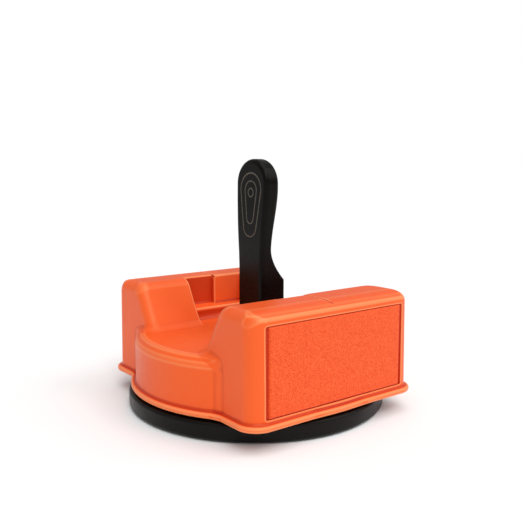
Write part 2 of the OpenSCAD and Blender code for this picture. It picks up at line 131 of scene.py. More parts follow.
def round_max(a, b, r):
    """Intersection of two distance fields, with its outer edge rounded to radius r."""
    return np.minimum(np.maximum(a, b), -r) + np.hypot(np.maximum(a + r, 0), np.maximum(b + r, 0))


def round_min(a, b, r):
    """Union of two distance fields, with its inner corner filleted to radius r."""
    return -round_max(-a, -b, r)


def smooth_step(t):
    """0 below 0, 1 above 1, and smooth between."""
    t = np.clip(t, 0, 1)
    return t * t * (3 - 2 * t)


def rounded_rect(x, y, half_x, half_y, r):
    """Distance to a rectangle with rounded corners, in its plane."""
    return round_max(np.abs(x) - half_x, np.abs(y) - half_y, r)


def walls(x, y, z):
    """The two towers and the drum between them, without the hem, open below."""
    ax = np.abs(x)
    ay = np.abs(y)
    lean = DRAFT * (z - HEM_Z)
    outer = ax - TOWER_X + lean
    end = ay - TOWER_Y + lean
    top = z - TOWER_TOP
    rear = smooth_step((y + 4) / 8)
    foot_x, slope, corner = (a + (b - a) * rear for a, b in (VALLEY_X, VALLEY_SLOPE, INNER_CORNER))
    inner = (foot_x + slope * (z - FLOOR_Z) - ax) / np.hypot(1, slope)
    band = ((ax - (TOWER_X - BAND_W)) * BAND_DROP + top * BAND_RUN) / math.hypot(BAND_DROP, BAND_RUN)
    sides = round_max(round_max(outer, end, TOWER_CORNER), inner, corner)
    along_band = smooth_step(0.5 + (outer - np.maximum(end, inner)) / 14)
    along_valley = smooth_step(0.5 + (inner - np.maximum(end, outer)) / 10)
    edge = TOP_EDGE + (BAND_EDGE - TOP_EDGE) * along_band + (VALLEY_EDGE - TOP_EDGE) * along_valley
    tower = round_max(sides, round_max(top, band, 2), edge)
    ledge = WELL_LEDGE_BACK - WELL_LEDGE_SLOPE * (WELL_X - ax)
    above_ledge = (ledge - z) / math.hypot(1, WELL_LEDGE_SLOPE)
    start, stop = WELL_Y
    deep = rounded_rect(ax, y - (start + WELL_SPLIT) / 2, WELL_X, (WELL_SPLIT - start) / 2, 0.8)
    shallow = rounded_rect(ax, y - (start + stop) / 2, WELL_X - WELL_STEP, (stop - start) / 2, 1.6)
    well = round_max(np.minimum(deep, shallow), above_ledge, 1.0)
    foot = rounded_rect(ax, y - (start + stop) / 2, WELL_FOOT_X, (stop - start) / 2, 2.5)
    tower = round_max(tower, -round_min(well, foot, 0.8), 0.8)
    radius = np.hypot(x, y)
    side = radius - DRUM_R + lean
    bevel = (radius - (DRUM_R - DRUM_BEVEL) + z - FLOOR_Z) / math.sqrt(2)
    drum = round_max(round_max(side, bevel, 1.4), z - FLOOR_Z, 1.2)
    return round_min(tower, drum, FLOOR_FILLET + (VALLEY_FILLET - FLOOR_FILLET) * smooth_step((z - 36) / 5))


def housing(x, y, z):
    """The one-piece housing: walls, hem, cavity, slots, wells and recesses of the grip pads."""
    ax = np.abs(x)
    ay = np.abs(y)
    solid = walls(x, y, z)
    plan = round_min(
        rounded_rect(x, y, TOWER_X, TOWER_Y, TOWER_CORNER), np.hypot(x, y) - DRUM_R, HEM_PLAN_FILLET
    )
    hem = round_max(plan - HEM_OUT, np.abs(z - HEM_Z - HEM_T / 2) - HEM_T / 2, HEM_EDGE)
    outside = round_min(solid, hem, HEM_FILLET)
    pad_mid = (pad_low.z + pad_high.z) / 2
    pad_half_z = (pad_high.z - pad_low.z) / 2 + PAD_GAP_EDGE
    pad_window = rounded_rect(y, z - pad_mid, pad_high.y + PAD_GAP_END, pad_half_z, 1.2)
    recess = np.maximum(pad_window, pad_low.x - ax)
    outside = round_max(outside, -recess, 0.35)
    seam = np.maximum(1 - np.abs(y - WELL_SPLIT) / SEAM_HALF_W, 0) * (ax < TOWER_X - BAND_W)
    outside = outside + SEAM_DEPTH * seam * (z > TOWER_TOP - 1.2)
    shell = np.maximum(outside, -(solid + WALL))
    for boss_x, boss_y in BOSS_AT:
        boss = np.hypot(ax - boss_x, ay - boss_y) - BOSS_R
        boss = np.maximum(np.maximum(boss, BOSS_Z - z), solid + WALL / 2)
        boss = np.maximum(boss, np.where(z < BOSS_Z + 9, 1.4 - np.hypot(ax - boss_x, ay - boss_y), boss))
        shell = np.minimum(shell, boss)
    slot_mid = (SLOT_Y[0] + SLOT_Y[1]) / 2
    lever_slot = rounded_rect(x, y - slot_mid, SLOT_X, (SLOT_Y[1] - SLOT_Y[0]) / 2, 1.5)
    post_slot = rounded_rect(ax - POST_SLOT_X, y, *POST_SLOT_HALF, 1.0)
    slots = np.maximum(np.minimum(lever_slot, post_slot), FLOOR_Z - 8 - z)
    shell = round_max(shell, -slots, 0.4)
    return np.maximum(shell, HEM_Z - z)


def painted_shade_mask(x, y, z):
    """How strongly to paint shade on a point of the housing: painted shade in the gap round each pad recess,
    along the seam, on the wall below each well's ledge and in the deep half of each well.
    """
    ax = np.abs(x)
    sunk = (ax > pad_low.x - 0.3) * (ax < TOWER_X - 0.4 - DRAFT * (z - HEM_Z))
    pad = sunk * (np.abs(y) < pad_high.y + PAD_GAP_END) * (z > pad_low.z - 0.5) * (z < pad_high.z + 0.5)
    seam = (np.abs(y - WELL_SPLIT) < SEAM_HALF_W * 0.8) * (z > TOWER_TOP - 1.5)
    wall = (ax > 33) * (ax < WELL_X + 0.5) * (y < WELL_Y[1])
    below = wall * (z < WELL_LEDGE_BACK - 3) * (z > FLOOR_Z + 0.4) * smooth_step((y - WELL_Y[0] - 1) / 4)
    deep = wall * (z > WELL_LEDGE_BACK - 0.5) * (z < TOWER_TOP - 0.9) * (ax > WELL_X - 1.2)
    deep = deep * (y < WELL_SPLIT - 0.5) * (y > WELL_Y[0])
    return np.maximum(np.maximum(1.0 * pad, 0.8 * seam), np.maximum(0.75 * below, 0.7 * deep))


# ------------------------------------------------------------------ surface of a distance field

def planes(stops):
    """Grid planes from a list of (position, step): each step holds from its position to the next."""
    cuts = [np.array([stops[0][0]])]
    for (start, step), (end, _) in zip(stops, stops[1:]):
        count = max(1, math.ceil((end - start) / step))
        cuts.append(np.linspace(start, end, count + 1)[1:])
    return np.concatenate(cuts)


def mirrored(stops):
    """Grid planes on both sides of zero."""
    half = planes(stops)
    return np.concatenate([-half[:0:-1], half])


def edge_crossings(values, grid, axis):
    """Where the field changes sign along one axis: the lower node of each edge and the crossing point."""
    low = [slice(None)] * 3
    high = [slice(None)] * 3
    low[axis] = slice(None, -1)
    high[axis] = slice(1, None)
    a = values[tuple(low)]
    b = values[tuple(high)]
    where = np.argwhere((a < 0) != (b < 0))
    index = tuple(where.T)
    t = a[index] / (a[index] - b[index])
    point = np.stack([grid[k][where[:, k]] for k in range(3)], 1)
    step = grid[axis][where[:, axis] + 1] - grid[axis][where[:, axis]]
    point[:, axis] += t * step
    return where, point, a[index] < 0


def surface_net(field, grid):
    """Points and quads on the zero level of a field, one point for each grid cell that it crosses."""
    values = field(grid[0][:, None, None], grid[1][None, :, None], grid[2][None, None, :])
    cells = np.array(values.shape) - 1
    total = np.zeros((cells.prod(), 4), np.float32)
    quads = []
    for axis in range(3):
        where, point, rising = edge_crossings(values, grid, axis)
        u, v = (axis + 1) % 3, (axis + 2) % 3
        inner = (where[:, u] > 0) & (where[:, v] > 0) & (where[:, u] < cells[u]) & (where[:, v] < cells[v])
        where, point, rising = where[inner], point[inner], rising[inner]
        ring = []
        for du, dv in ((1, 1), (0, 1), (0, 0), (1, 0)):
            cell = where.copy()
            cell[:, u] -= du
            cell[:, v] -= dv
            flat = np.ravel_multi_index(tuple(cell.T), tuple(cells))
            for k in range(3):
                total[:, k] += np.bincount(flat, point[:, k], len(total)).astype(np.float32)
            total[:, 3] += np.bincount(flat, None, len(total)).astype(np.float32)
            ring.append(flat)
        ring = np.stack(ring, 1)
        ring[~rising] = ring[~rising][:, ::-1]
        quads.append(ring)
    quads = np.concatenate(quads)
    used = np.flatnonzero(total[:, 3])
    number = np.zeros(len(total), np.int64)
    number[used] = np.arange(len(used))
    points = (total[used, :3] / total[used, 3:]).astype(np.float64)
    return points, number[quads]


def gradient(field, points, eps):
    """Slope of a field at each point."""
    slope = np.empty_like(points)
    for k in range(3):
        ahead = points.copy()
        behind = points.copy()
        ahead[:, k] += eps
        behind[:, k] -= eps
        slope[:, k] = (field(*ahead.T) - field(*behind.T)) / (2 * eps)
    return slope


def field_object(name, field, grid, rounds=2, reach=0.3, shaded=None):
    """A smooth-shaded mesh of a field's zero level, with normals taken from the field itself, and stored
    values for a painted highlight on outer edges and painted shade in inner corners and wherever shaded asks
    for it.
    """
    points, quads = surface_net(field, grid)
    for _ in range(rounds):
        slope = gradient(field, points, 0.02)
        push = field(*points.T) / np.maximum((slope ** 2).sum(1), 0.05)
        points -= slope * np.clip(push, -reach, reach)[:, None]
    slope = gradient(field, points, 0.12)
    normals = slope / np.maximum(np.linalg.norm(slope, axis=1), 1e-6)[:, None]
    mesh = bpy.data.meshes.new(name)
    mesh.vertices.add(len(points))
    mesh.vertices.foreach_set("co", (points * MM).ravel())
    mesh.loops.add(quads.size)
    mesh.loops.foreach_set("vertex_index", quads.ravel().astype(np.int32))
    mesh.polygons.add(len(quads))
    mesh.polygons.foreach_set("loop_start", np.arange(0, quads.size, 4, dtype=np.int32))
    mesh.update(calc_edges=True)
    mesh.validate()
    mesh.polygons.foreach_set("use_smooth", np.ones(len(mesh.polygons), bool))
    mesh.normals_split_custom_set_from_vertices(normals)
    bend = curvature(field, points, 0.7)
    # Painted highlight: how sharply the surface bends outward, kept for the material to paint outer edges
    # pale.
    store(mesh, "edge", np.clip(bend / 0.9, 0, 1))
    # Painted shade: how sharply the surface bends inward, or the shaded mask where that is more, kept for the
    # material to paint dark red.
    store(mesh, "painted_shade", np.clip(-bend / 0.9, shaded(*points.T) if shaded else 0, 1))
    return link(bpy.data.objects.new(name, mesh))


def curvature(field, points, reach):
    """How far the surface bends within reach: above 0 along outer edges, below 0 in inner corners."""
    total = -6 * field(*points.T)
    for k in range(3):
        for way in (-reach, reach):
            moved = points.copy()
            moved[:, k] += way
            total += field(*moved.T)
    return total / reach ** 2


def store(mesh, name, values):
    """Keeps one number for each point, for the materials to read."""
    layer = mesh.attributes.new(name, "FLOAT", "POINT")
    layer.data.foreach_set("value", values.astype(np.float32))


def link(obj):
    bpy.context.scene.collection.objects.link(obj)
    return obj


def dress(obj, material, body, slot, *replaced):
    """Gives a piece its material and body, and hides the CAD nodes it stands for; slot is not used."""
    obj.data.materials.clear()
    obj.data.materials.append(material)
    if replaced:
        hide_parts(*replaced)
    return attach(obj, body)


# ------------------------------------------------------------------ material building blocks

def new_material(name):
    material = bpy.data.materials.new(name)
    material.use_nodes = True
    return material, material.node_tree, material.node_tree.nodes["Principled BSDF"]


def add_node(tree, kind, settings=None, inputs=None):
    """Adds a shader node; an input is a value or the socket that feeds it."""
    node = tree.nodes.new(kind)
    for key, value in (settings or {}).items():
        setattr(node, key, value)
    for key, value in (inputs or {}).items():
        if isinstance(value, bpy.types.NodeSocket):
            tree.links.new(value, node.inputs[key])
        else:
            node.inputs[key].default_value = value
    return node


def noise(tree, scale, detail=3, roughness=0.5, stretch=None):
    """Noise over the piece's own coordinates; scale is in features per metre."""
    place = add_node(tree, "ShaderNodeTexCoord").outputs["Object"]
    if stretch:
        place = add_node(tree, "ShaderNodeMapping", inputs={"Vector": place, "Scale": stretch}).outputs[0]
    node = add_node(tree, "ShaderNodeTexNoise", inputs={
        "Vector": place, "Scale": scale, "Detail": detail, "Roughness": roughness})
    return node.outputs["Fac"]


def spread(tree, value, low, high, start=0.3, end=0.7):
    """Maps a noise value to the range low to high."""
    node = add_node(tree, "ShaderNodeMapRange", inputs={
        "Value": value, "From Min": start, "From Max": end, "To Min": low, "To Max": high})
    return node.outputs["Result"]


def blend_colour(tree, factor, a, b):
    node = add_node(tree, "ShaderNodeMix", {"data_type": "RGBA"})
    for socket, value in ((node.inputs[0], factor), (node.inputs[6], a), (node.inputs[7], b)):
        if isinstance(value, bpy.types.NodeSocket):
            tree.links.new(value, socket)
        else:
            socket.default_value = (*value, 1) if isinstance(value, tuple) else value
    return node.outputs[2]


def bump(tree, height, distance_mm, strength=1.0, under=None):
    inputs = {"Height": height, "Distance": distance_mm * MM, "Strength": strength}
    if under is not None:
        inputs["Normal"] = under
    return add_node(tree, "ShaderNodeBump", inputs=inputs).outputs["Normal"]


def stored(tree, name, low, high, start=0.0, end=1.0):
    """A number kept on the mesh's points, mapped to a range."""
    value = add_node(tree, "ShaderNodeAttribute", {"attribute_name": name}).outputs["Fac"]
    return spread(tree, value, low, high, start, end)


def linear(r, g, b):
    """Scene colour from an 8-bit display colour."""
    return tuple(((c / 255 + 0.055) / 1.055) ** 2.4 if c > 10 else c / 255 / 12.92 for c in (r, g, b))


def moulded(name, dark, light, rough, grain_mm=0.35, grain_depth=0.006, specular=0.5, edge=None,
            painted_shade=None, line=None):
    """Moulded plastic: a fine spark-eroded grain, slow colour drift, and gloss that varies a little. Optional
    colours paint a highlight on outer edges, shade in inner corners and recesses, and a highlight along
    engraved lines.
    """
    material, tree, shader = new_material(name)
    colour = blend_colour(tree, spread(tree, noise(tree, 22, 4), 0, 1), dark, light)
    # Painted highlight: outer edges take the pale edge colour.
    if edge:
        colour = blend_colour(tree, stored(tree, "edge", 0, 0.8, 0.12, 0.7), colour, edge)
    # Painted shade: inner corners and recesses take the dark shade colour.
    if painted_shade:
        colour = blend_colour(tree, stored(tree, "painted_shade", 0, 0.9, 0.1, 0.9), colour, painted_shade)
    # Painted highlight: the engraved lines are painted a pale grey.
    if line:
        colour = blend_colour(tree, stored(tree, "line", 0, 1.0), colour, line)
    tree.links.new(colour, shader.inputs["Base Color"])
    tree.links.new(spread(tree, noise(tree, 160, 5, 0.6), rough - 0.05, rough + 0.05),
                   shader.inputs["Roughness"])
    coarse = bump(tree, noise(tree, 45, 2), 0.05, 0.25)
    tree.links.new(bump(tree, noise(tree, 1 / (grain_mm * MM), 2), grain_depth, 1.0, coarse),
                   shader.inputs["Normal"])
    shader.inputs["Specular IOR Level"].default_value = specular
    return material


def metal(name, colour, rough, stretch=(1, 1, 1), scratch=0.004):
    """Machined or drawn metal: fine tool marks along one direction."""
    material, tree, shader = new_material(name)
    dark = tuple(c * 0.8 for c in colour)
    tree.links.new(blend_colour(tree, spread(tree, noise(tree, 90, 4), 0, 1), dark, colour),
                   shader.inputs["Base Color"])
    marks = noise(tree, 700, 4, 0.6, stretch)
    tree.links.new(spread(tree, marks, rough - 0.08, rough + 0.12), shader.inputs["Roughness"])
    tree.links.new(bump(tree, marks, scratch), shader.inputs["Normal"])
    shader.inputs["Metallic"].default_value = 1.0
    return material


def nap(name, dark, mid, light):
    """Soft foam-backed grip pad: a dense short nap with darker pits and paler tips."""
    material, tree, shader = new_material(name)
    tufts = noise(tree, 1500, 3, 0.6)
    patches = noise(tree, 140, 3)
    colour = blend_colour(tree, spread(tree, tufts, 0, 1, 0.34, 0.54), dark, mid)
    colour = blend_colour(tree, spread(tree, tufts, 0, 0.85, 0.54, 0.72), colour, light)
    colour = blend_colour(tree, spread(tree, patches, 0, 0.18), colour, dark)
    tree.links.new(colour, shader.inputs["Base Color"])
    tree.links.new(spread(tree, tufts, 0.85, 1.0), shader.inputs["Roughness"])
    tree.links.new(bump(tree, tufts, 0.25, 0.8), shader.inputs["Normal"])
    shader.inputs["Specular IOR Level"].default_value = 0.15
    shader.inputs["Sheen Weight"].default_value = 0.15
    shader.inputs["Sheen Roughness"].default_value = 0.5
    return material


# Painted light on the housing: the pale colour is a painted highlight on outer edges and the dark red one is
# painted shade in inner corners and recesses.
ORANGE = moulded("housing_orange", linear(239, 88, 30), linear(245, 94, 35), 0.42, specular=0.5,
                 edge=linear(252, 146, 92), painted_shade=linear(184, 26, 2))
ORANGE.node_tree.nodes["Principled BSDF"].inputs["Specular Tint"].default_value = (1, 0.8, 0.5, 1)
BLACK = moulded("base_black", linear(10, 9, 7), linear(14, 12, 10), 0.34, specular=0.14)
# The lever's pale grey is a painted highlight along its engraved loops.
LEVER_BLACK = moulded("lever_black", linear(9, 7, 5), linear(13, 11, 9), 0.28, specular=0.1,
                      grain_mm=0.25, grain_depth=0.003, line=linear(118, 113, 104))
PAD = nap("pad_orange", linear(222, 70, 24), linear(243, 95, 44), linear(253, 122, 66))
CHASSIS = moulded("chassis_dark", linear(38, 38, 40), linear(48, 48, 50), 0.5)
RUBBER = moulded("foot_rubber", linear(34, 34, 34), linear(44, 44, 44), 0.75, 0.5, 0.01, 0.3)
ACETAL = moulded("gear_acetal", linear(226, 222, 208), linear(236, 233, 222), 0.42, 0.3, 0.003)
BALL_STEEL = metal("ball_steel", (0.62, 0.62, 0.63), 0.14, scratch=0.0005)
PIN_STEEL = metal("pin_steel", (0.56, 0.56, 0.57), 0.26, (1, 14, 14))
SCREW_STEEL = metal("screw_steel", (0.50, 0.50, 0.51), 0.32)
SPRING_STEEL = metal("spring_steel", (0.52, 0.51, 0.50), 0.28)
BALLAST = metal("ballast_steel", (0.45, 0.45, 0.46), 0.42, (1, 1, 1), 0.008)
BRONZE = metal("bush_bronze", (0.60, 0.36, 0.16), 0.34)

# ------------------------------------------------------------------ pieces from outlines and copies

def mesh_object(name, points, faces):
    """A mesh from points in millimetres."""
    mesh = bpy.data.meshes.new(name)
    mesh.from_pydata([tuple(c * MM for c in p) for p in points], [], faces)
    return link(bpy.data.objects.new(name, mesh))


def shade(obj, sharp_deg=35):
    """Smooth shading, apart from edges sharper than the angle."""
    mesh = obj.data
    mesh.polygons.foreach_set("use_smooth", np.ones(len(mesh.polygons), bool))
    mesh.set_sharp_from_angle(angle=math.radians(sharp_deg))
    return obj


def face_outward(obj):
    """Turns every face of a closed mesh outward."""
    bm = bmesh.new()
    bm.from_mesh(obj.data)
    bmesh.ops.recalc_face_normals(bm, faces=bm.faces)
    bm.to_mesh(obj.data)
    bm.free()
    return obj


def arc(centre, r, start, end, steps=6):
    """Points on an arc, angles in degrees."""
    turn = [math.radians(start + (end - start) * i / steps) for i in range(steps + 1)]
    return [(centre[0] + r * math.cos(a), centre[1] + r * math.sin(a)) for a in turn]


def turned(name, outline, segments=192):
    """A closed outline of (radius, height) points turned about the Z axis."""
    points = []
    for i in range(segments):
        a = 2 * math.pi * i / segments
        points += [(r * math.cos(a), r * math.sin(a), z) for r, z in outline]
    n = len(outline)
    faces = []
    for i in range(segments):
        j = (i + 1) % segments
        faces += [(i * n + k, j * n + k, j * n + (k + 1) % n, i * n + (k + 1) % n) for k in range(n)]
    obj = mesh_object(name, points, faces)
    return shade(face_outward(obj))


def softened(node, name, width_mm, segments=2, angle=30):
    """A copy of a CAD node's mesh with its hard edges eased."""
    obj = link(bpy.data.objects.new(name, frame["nodes"][node].data.copy()))
    bm = bmesh.new()
    bm.from_mesh(obj.data)
    bmesh.ops.remove_doubles(bm, verts=bm.verts, dist=0.002 * MM)
    bmesh.ops.dissolve_limit(bm, angle_limit=math.radians(1.5), verts=bm.verts, edges=bm.edges)
    hard = [e for e in bm.edges if len(e.link_faces) == 2 and e.calc_face_angle(0) > math.radians(angle)]
    bmesh.ops.bevel(bm, geom=hard, offset=width_mm * MM, segments=segments, profile=0.5, affect="EDGES",
                    clamp_overlap=True)
    bmesh.ops.triangulate(bm, faces=[f for f in bm.faces if len(f.verts) > 4])
    bm.to_mesh(obj.data)
    bm.free()
    return shade(obj, 28)


# ------------------------------------------------------------------ housing

across = [(0, 1.2), (12, 0.4), (19.6, 1.2), (23, 0.7), (35.5, 0.4), (46.5, 1.1), (55, 1.0), (63, 0.6),
          (69, 0.28), (71.8, 0.4), (74.6, 0.4)]
along = [(-74.8, 0.45), (-66, 0.8), (-58, 0.45), (-44.5, 1.3), (-25, 0.4), (-20.6, 1.0), (-18, 0.4),
         (-15.8, 1.0), (-12, 0.4), (-9.8, 1.1), (-3.6, 0.16), (-0.8, 1.1), (9.8, 0.4), (12, 1.0), (17, 0.4),
         (25, 1.3), (44.5, 0.45), (58, 0.8), (66, 0.45), (74.8, 0.4)]
upward = [(10.6, 0.3), (16.8, 1.1), (36.5, 0.35), (46.5, 0.6), (48.5, 0.4), (52.5, 1.0), (60.5, 0.4),
          (68.6, 0.4)]
# The housing gets painted shade in its pad gaps, its seam, the walls under the ledges and the deep halves of
# the wells.
body = field_object("housing_body", housing, (mirrored(across), planes(along), planes(upward)),
                    shaded=painted_shade_mask)
dress(body, ORANGE, "housing", "housing_orange", "housing_shell")


def smooth_noise(rng, shape, cell):
    """Seeded noise on a grid, blurred over cell points and scaled to -1..1."""
    field = rng.standard_normal(shape)
    kernel = np.hanning(2 * cell + 1)
    for axis in (0, 1):
        field = np.apply_along_axis(np.convolve, axis, field, kernel, "same")
    return field / np.abs(field).max()


def grip_pad(name, sign, seed):
    """A foam-backed pad with a rounded edge and a short dense nap on its face."""
    rng = np.random.default_rng(seed)
    step = 0.42
    edge = 0.55
    ys = np.linspace(pad_low.y, pad_high.y, round((pad_high.y - pad_low.y) / step))
    zs = np.linspace(pad_low.z, pad_high.z, round((pad_high.z - pad_low.z) / step))
    tufts = 0.6 * smooth_noise(rng, (len(ys), len(zs)), 2) + 0.4 * smooth_noise(rng, (len(ys), len(zs)), 1)
    y, z = np.meshgrid(ys, zs, indexing="ij")
    inset = np.minimum(np.minimum(y - ys[0], ys[-1] - y), np.minimum(z - zs[0], zs[-1] - z))
    inset = np.clip(inset, 0, edge)
    roll = edge - np.sqrt(edge ** 2 - (edge - inset) ** 2)
    lean = DRAFT * (z - HEM_Z) * 0.6
    x = pad_high.x + 0.1 - lean - roll + 0.14 * tufts * (inset / edge)
    count = len(ys) * len(zs)
    front = np.stack([sign * x, y, z], -1).reshape(-1, 3)
    number = np.arange(count).reshape(len(ys), len(zs))
    faces = [(number[i, j], number[i + 1, j], number[i + 1, j + 1], number[i, j + 1])
             for i in range(len(ys) - 1) for j in range(len(zs) - 1)]
    rim = list(number[:, 0]) + list(number[-1, 1:]) + list(number[-2::-1, -1]) + list(number[0, -2:0:-1])
    back = [(sign * pad_low.x, front[k][1], front[k][2]) for k in rim]
    faces += [(rim[k], count + k, count + (k + 1) % len(rim), rim[(k + 1) % len(rim)])
              for k in range(len(rim))]
    faces.append(tuple(count + k for k in range(len(rim))))
    obj = mesh_object(name, [tuple(p) for p in front] + back, faces)
    return shade(face_outward(obj), 60)


for side, sign, seed in (("right", 1, 11), ("left", -1, 23)):
    pad = grip_pad("grip_pad_nap_" + side, sign, seed)
    dress(pad, PAD, "housing", "pad_orange", "grip_pad_" + side)

# ------------------------------------------------------------------ lever

LEVER_TOP = lever_high.z
PADDLE_HALF = 14.5
STEM_HALF = 11.6
STEM_Z = 76
PADDLE_Z = LEVER_TOP - PADDLE_HALF
FRONT_Y = -5
FRONT_LEAN = 1.1
HEEL_Y = 12.3
HEEL_Z = 71.3
NECK_Y = 2.3
NECK_Z = 90
PADDLE_BACK = 6.4
HUB_R = 6.5
AXLE_R = 2.5
# The engraved loops: (bottom centre, bottom radius, top centre, top radius)
LOOPS = ((102.7, 6.0, 123.8, 9.5), (107.4, 3.1, 123.3, 5.4), (122.1, 2.4, 122.1, 2.4))
LOOP_DEPTH = 0.4
LOOP_HALF_W = 0.42


def teardrop(x, z, low, low_r, high, high_r):
    """Distance in the plane to the outline of two circles joined by their tangents."""
    height = max(high - low, 1e-6)
    px, pz = np.abs(x), z - low
    slope = (low_r - high_r) / height
    across = math.sqrt(1 - slope ** 2)
    k = px * -slope + pz * across
    flank = px * across + pz * slope - low_r
    d = np.where(k < 0, np.hypot(px, pz) - low_r, flank)
    return np.abs(np.where(k > across * height, np.hypot(px, pz - height) - high_r, d))


def engraving(x, y, z):
    """1 in the middle of each engraved loop and 0 away from them."""
    facing = np.clip((FRONT_Y + FRONT_LEAN + 1.2 - y) / 0.8, 0, 1)
    deep = 0.0
    for loop in LOOPS:
        deep = deep + np.maximum(1 - (teardrop(x, z, *loop) / LOOP_HALF_W) ** 2, 0) * facing
    return deep


def lever_shape(x, y, z):
    """The lever: flat front, waisted back, heel above the floor and a hub round its axle."""
    half = STEM_HALF + (PADDLE_HALF - STEM_HALF) * smooth_step((z - STEM_Z) / (PADDLE_Z - STEM_Z))
    face = np.where(z > PADDLE_Z, np.hypot(x, z - PADDLE_Z) - PADDLE_HALF, np.abs(x) - half)
    taper = np.clip((36 - z) / 13, 0, 1)
    front = FRONT_Y + FRONT_LEAN * smooth_step((z - 92) / 38) + 2.4 * taper - y
    waist = np.clip(1 - (z - HEEL_Z) / (NECK_Z - HEEL_Z), 0, 1) ** 1.75
    paddle = smooth_step((z - NECK_Z) / 34)
    back = y - NECK_Y - (HEEL_Y - NECK_Y) * waist - (PADDLE_BACK - NECK_Y) * paddle + 3 * taper
    above = smooth_step((z - NECK_Z) / 30)
    blade = round_max(round_max(face, front, 2.6), back, 1.3 + 1.9 * above)
    blade = np.maximum(blade, PIVOT_Z - z)
    from_axle = np.hypot(y - PIVOT_Y, z - PIVOT_Z)
    hub = round_max(from_axle - HUB_R, np.abs(x) - 11.8, 0.5)
    shape = np.minimum(blade, hub) + LOOP_DEPTH * engraving(x, y, z)
    return np.maximum(shape, AXLE_R - from_axle)


lever_across = [(0, 0.34), (13, 0.42), (16, 0.5)]
lever_along = [(-6.6, 0.3), (-1.5, 0.6), (8, 0.45), (14.2, 0.5)]
lever_up = [(15.6, 0.6), (94, 0.34), (142.6, 0.5)]
lever_grid = (mirrored(lever_across), planes(lever_along), planes(lever_up))
lever = field_object("lever_blade", lever_shape, lever_grid)
lever_points = np.array([v.co for v in lever.data.vertices]) / MM
# Painted highlight: the engraved loops are marked for the material to paint pale grey.
store(lever.data, "line", np.clip(engraving(*lever_points.T), 0, 1))
dress(lever, LEVER_BLACK, "lever", "lever_black", "lever")

# ------------------------------------------------------------------ base

DISC_R = disc_high.x
DISC_TOP = disc_high.z
DISC_LOW = disc_low.z
RACE_R = 45
BALL_Z = 10.85
disc_outline = (
    [(5, DISC_TOP)]
    + arc((RACE_R, BALL_Z), 2.8, 197, 343, 14)
    + arc((DISC_R - 1.6, DISC_TOP - 1.6), 1.6, 90, 0, 8)
    + arc((DISC_R - 1.6, DISC_LOW + 1.6), 1.6, 0, -90, 8)
    + [(68.1, DISC_LOW), (68.1, 2.3), (59.9, 2.3), (59.9, DISC_LOW), (52.2, DISC_LOW), (52.2, 3.8),
       (17.8, 3.8), (17.8, DISC_LOW), (10.1, DISC_LOW), (10.1, 3.0), (5, 3.0)]
)
disc = turned("base_disc_moulding", disc_outline, 256)
dress(disc, BLACK, "base", "base_black", "base_disc")

ring_grooves = []
for k in range(4):
    r = ring_high.x - 1.2 - 2 * k
    ring_grooves += [(r, 0), (r - 0.3, 0.35), (r - 0.9, 0.35), (r - 1.2, 0)]
ring_outline = [(ring_high.x, ring_high.z), (ring_high.x, 0.2), (ring_high.x - 0.2, 0)] + ring_grooves + [
    (60.2, 0), (60, 0.2), (60, ring_high.z)]
dress(turned("foot_ring_ribbed", ring_outline), RUBBER, "base", "foot_rubber", "foot_ring")

# ------------------------------------------------------------------ chassis, drive and fasteners

EASED = (
    ("chassis_plate", CHASSIS, "housing", "chassis_dark", 0.35),
    ("pusher_frame", ORANGE, "shuttle", "housing_orange", 0.55),
    ("rack_slider", ACETAL, "shuttle", "gear_acetal", 0.12),
    ("plain_slider", ACETAL, "shuttle", "gear_acetal", 0.2),
    ("sector_gear", ACETAL, "lever", "gear_acetal", 0.1),
    ("axle_spacer", ACETAL, "lever", "gear_acetal", 0.2),
    ("ball_cage", ACETAL, "bearing_cage", "gear_acetal", 0.12),
    ("ballast_plate", BALLAST, "base", "ballast_steel", 0.25),
    ("spindle", PIN_STEEL, "base", "pin_steel", 0.2),
    ("spindle_washer", SCREW_STEEL, "base", "screw_steel", 0.12),
    ("axle_bush_left", BRONZE, "housing", "bush_bronze", 0.12),
    ("axle_bush_right", BRONZE, "housing", "bush_bronze", 0.12),
    ("guide_rod_left", PIN_STEEL, "housing", "pin_steel", 0.15),
    ("guide_rod_right", PIN_STEEL, "housing", "pin_steel", 0.15),
    ("lever_axle", PIN_STEEL, "lever", "pin_steel", 0.2),
    ("axle_clips", SPRING_STEEL, "lever", "spring_steel", 0.1),
)
for node, material, group, slot, width in EASED:
    dress(softened(node, node + "_eased", width), material, group, slot, node)

# The balls are the one CAD node that shows
for name, node in frame["nodes"].items():
    node.data.materials.clear()
    node.data.materials.append(BALL_STEEL if name == "thrust_balls" else SCREW_STEEL)


